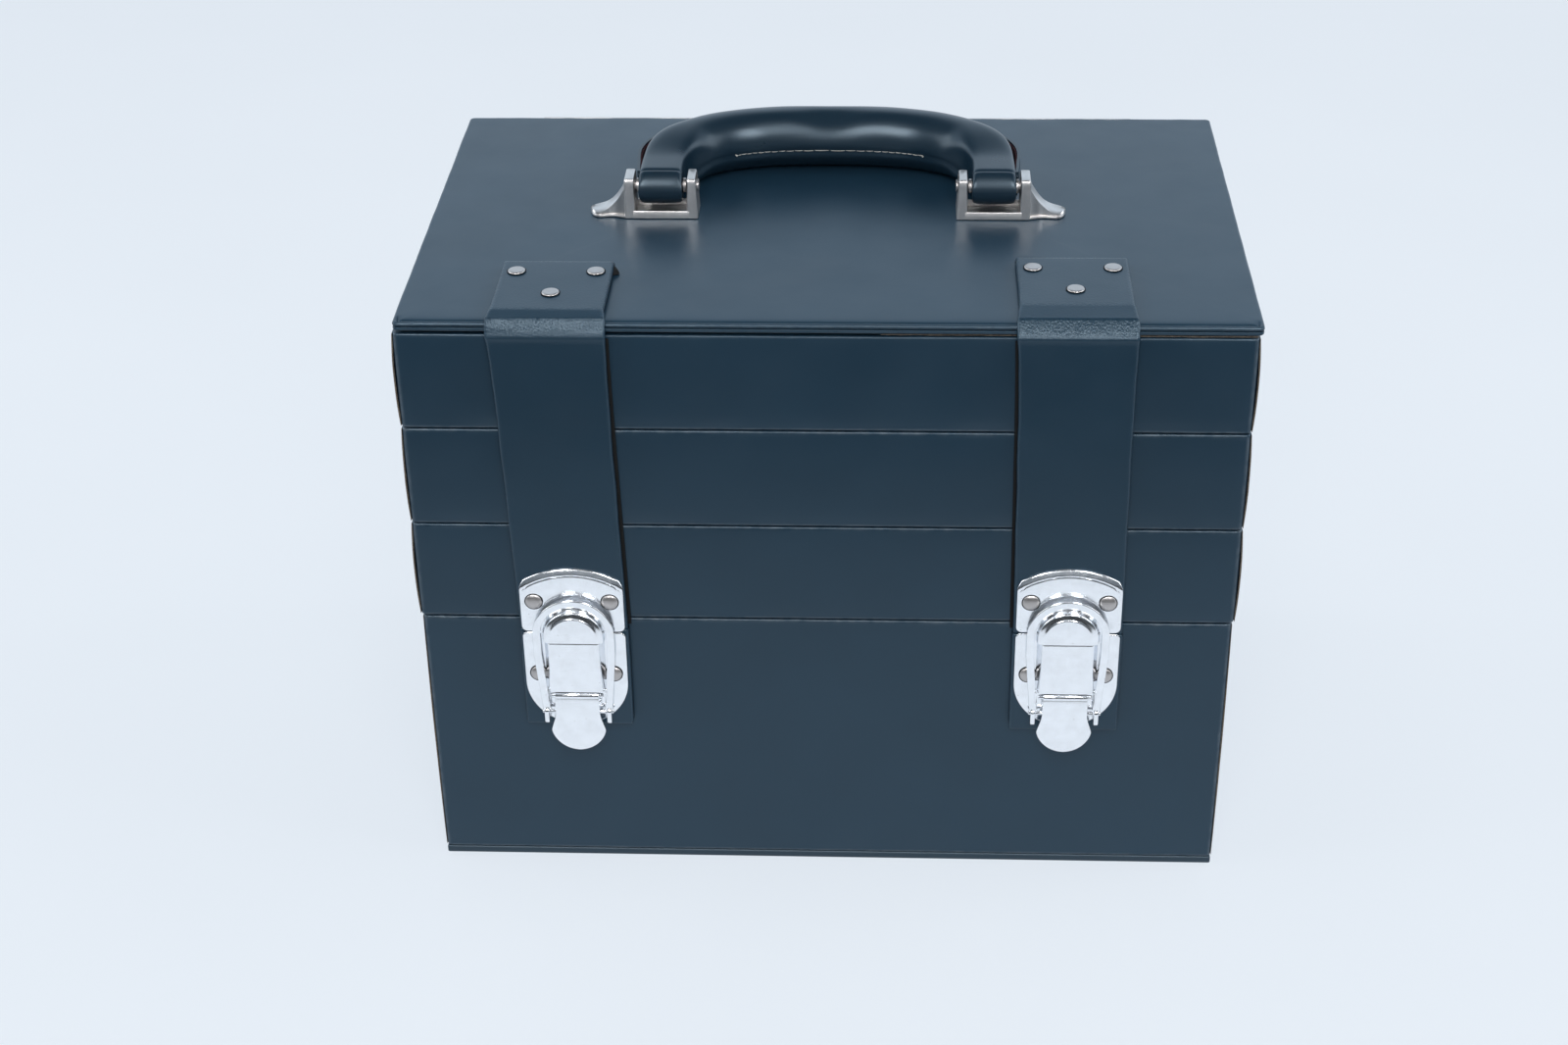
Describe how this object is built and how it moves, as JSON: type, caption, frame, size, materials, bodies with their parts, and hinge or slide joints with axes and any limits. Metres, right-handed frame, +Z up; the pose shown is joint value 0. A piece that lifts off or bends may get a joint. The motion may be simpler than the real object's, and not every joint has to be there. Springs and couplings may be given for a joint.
{
  "type": "sewing box with trays",
  "caption": "Covered sewing box whose stacked trays swing up and back on side link arms, with a strapped hinged lid, toggle latches and a folding carrying handle.",
  "frame": {"origin": "centre of the base's underside", "axes": "+X to the right seen from the latches, +Y to the hinge side, +Z up; the latches face -Y"},
  "size_m": [0.3088, 0.1989, 0.2551],
  "materials": {
    "navy_leatherette": "satin embossed navy leatherette over board",
    "grip_leather": "smooth glossy navy leather",
    "base_board_leatherette": "matte leatherette over board",
    "lining": "short nap grey lining",
    "chrome": "bright plated steel with fine scratches",
    "nickel": "nickel plated steel",
    "rivet_nickel": "satin nickel"
  },
  "bodies": {
    "base": {"base_board": "base_board_leatherette", "base_case": "navy_leatherette", "latch_plate_left": "chrome", "latch_plate_left_rivet_1": "rivet_nickel", "latch_plate_left_rivet_2": "rivet_nickel", "latch_plate_right": "chrome", "latch_plate_right_rivet_1": "rivet_nickel", "latch_plate_right_rivet_2": "rivet_nickel", "pad_left": "navy_leatherette", "pad_right": "navy_leatherette"},
    "links_3_front": {"arm_3_left_front": "nickel", "arm_3_right_front": "nickel"},
    "links_3_rear": {"arm_3_left_rear": "nickel", "arm_3_right_rear": "nickel"},
    "tray_3": {"tray_3_case": "navy_leatherette", "tray_3_divider": "lining", "tray_3_floor": "lining"},
    "links_2_front": {"arm_2_left_front": "nickel", "arm_2_right_front": "nickel"},
    "links_2_rear": {"arm_2_left_rear": "nickel", "arm_2_right_rear": "nickel"},
    "tray_2": {"tray_2_case": "navy_leatherette", "tray_2_divider": "lining", "tray_2_floor": "lining"},
    "links_1_front": {"arm_1_left_front": "nickel", "arm_1_right_front": "nickel"},
    "links_1_rear": {"arm_1_left_rear": "nickel", "arm_1_right_rear": "nickel"},
    "tray_1": {"tray_1_case": "navy_leatherette", "tray_1_divider": "lining", "tray_1_floor": "lining", "hinge_leaf_tray": "nickel", "hinge_pin": "nickel"},
    "lid": {"handle_bracket_left": "nickel", "handle_bracket_right": "nickel", "handle_pin_left": "rivet_nickel", "handle_pin_right": "rivet_nickel", "hinge_leaf_lid": "nickel", "keeper_left": "chrome", "keeper_left_rivet_1": "rivet_nickel", "keeper_left_rivet_2": "rivet_nickel", "keeper_right": "chrome", "keeper_right_rivet_1": "rivet_nickel", "keeper_right_rivet_2": "rivet_nickel", "lid_board": "navy_leatherette", "lid_lining": "lining", "strap_left": "navy_leatherette", "strap_left_rivet_1": "rivet_nickel", "strap_left_rivet_2": "rivet_nickel", "strap_left_rivet_3": "rivet_nickel", "strap_right": "navy_leatherette", "strap_right_rivet_1": "rivet_nickel", "strap_right_rivet_2": "rivet_nickel", "strap_right_rivet_3": "rivet_nickel"},
    "handle": {"handle_grip": "grip_leather"},
    "lever_left": {"lever_left": "chrome"},
    "bail_left": {"bail_left": "chrome"},
    "lever_right": {"lever_right": "chrome"},
    "bail_right": {"bail_right": "chrome"}
  },
  "joints": [
    {"name": "trays_open", "type": "hinge", "parent": "base", "child": "links_3_front", "pos_m": [0, -0.02, 0.1015], "axis": [-1, 0, 0], "range_deg": [0, 120]},
    {"name": "links_3_rear_swing", "type": "hinge", "parent": "base", "child": "links_3_rear", "pos_m": [0, 0.06, 0.1015], "axis": [-1, 0, 0], "range_deg": [0, 120]},
    {"name": "tray_3_level", "type": "hinge", "parent": "links_3_front", "child": "tray_3", "pos_m": [0, -0.05464, 0.1215], "axis": [-1, 0, 0], "range_deg": [-120, 0]},
    {"name": "links_2_front_swing", "type": "hinge", "parent": "tray_3", "child": "links_2_front", "pos_m": [0, -0.02, 0.1415], "axis": [-1, 0, 0], "range_deg": [0, 120]},
    {"name": "links_2_rear_swing", "type": "hinge", "parent": "tray_3", "child": "links_2_rear", "pos_m": [0, 0.06, 0.1415], "axis": [-1, 0, 0], "range_deg": [0, 120]},
    {"name": "tray_2_level", "type": "hinge", "parent": "links_2_front", "child": "tray_2", "pos_m": [0, -0.05464, 0.1615], "axis": [-1, 0, 0], "range_deg": [-120, 0]},
    {"name": "links_1_front_swing", "type": "hinge", "parent": "tray_2", "child": "links_1_front", "pos_m": [0, -0.02, 0.181], "axis": [-1, 0, 0], "range_deg": [0, 120]},
    {"name": "links_1_rear_swing", "type": "hinge", "parent": "tray_2", "child": "links_1_rear", "pos_m": [0, 0.06, 0.181], "axis": [-1, 0, 0], "range_deg": [0, 120]},
    {"name": "tray_1_level", "type": "hinge", "parent": "links_1_front", "child": "tray_1", "pos_m": [0, -0.05464, 0.201], "axis": [-1, 0, 0], "range_deg": [-120, 0]},
    {"name": "lid_hinge", "type": "hinge", "parent": "tray_1", "child": "lid", "pos_m": [0, 0.0953, 0.2287], "axis": [-1, 0, 0], "range_deg": [0, 105]},
    {"name": "handle_swing", "type": "hinge", "parent": "lid", "child": "handle", "pos_m": [-0.0009, -0.0005, 0.2443], "axis": [1, 0, 0], "range_deg": [0, 180]},
    {"name": "lever_left_flip", "type": "hinge", "parent": "base", "child": "lever_left", "pos_m": [-0.0927, -0.1004, 0.0812], "axis": [-1, 0, 0], "range_deg": [0, 105]},
    {"name": "bail_left_swing", "type": "hinge", "parent": "lever_left", "child": "bail_left", "pos_m": [-0.0927, -0.1001, 0.0737], "axis": [-1, 0, 0], "range_deg": [-132, 0]},
    {"name": "lever_right_flip", "type": "hinge", "parent": "base", "child": "lever_right", "pos_m": [0.0892, -0.1004, 0.083], "axis": [-1, 0, 0], "range_deg": [0, 105]},
    {"name": "bail_right_swing", "type": "hinge", "parent": "lever_right", "child": "bail_right", "pos_m": [0.0892, -0.1001, 0.0755], "axis": [-1, 0, 0], "range_deg": [-132, 0]}
  ],
  "couplings": [
    {"joint": "links_3_rear_swing", "follows": "trays_open", "ratio": 1},
    {"joint": "tray_3_level", "follows": "trays_open", "ratio": -1},
    {"joint": "links_2_front_swing", "follows": "trays_open", "ratio": 1},
    {"joint": "links_2_rear_swing", "follows": "trays_open", "ratio": 1},
    {"joint": "tray_2_level", "follows": "trays_open", "ratio": -1},
    {"joint": "links_1_front_swing", "follows": "trays_open", "ratio": 1},
    {"joint": "links_1_rear_swing", "follows": "trays_open", "ratio": 1},
    {"joint": "tray_1_level", "follows": "trays_open", "ratio": -1},
    {"joint": "lid_hinge", "follows": "trays_open", "ratio": 0.875},
    {"joint": "bail_left_swing", "follows": "lever_left_flip", "ratio": -1.25},
    {"joint": "bail_right_swing", "follows": "lever_right_flip", "ratio": -1.25}
  ]
}
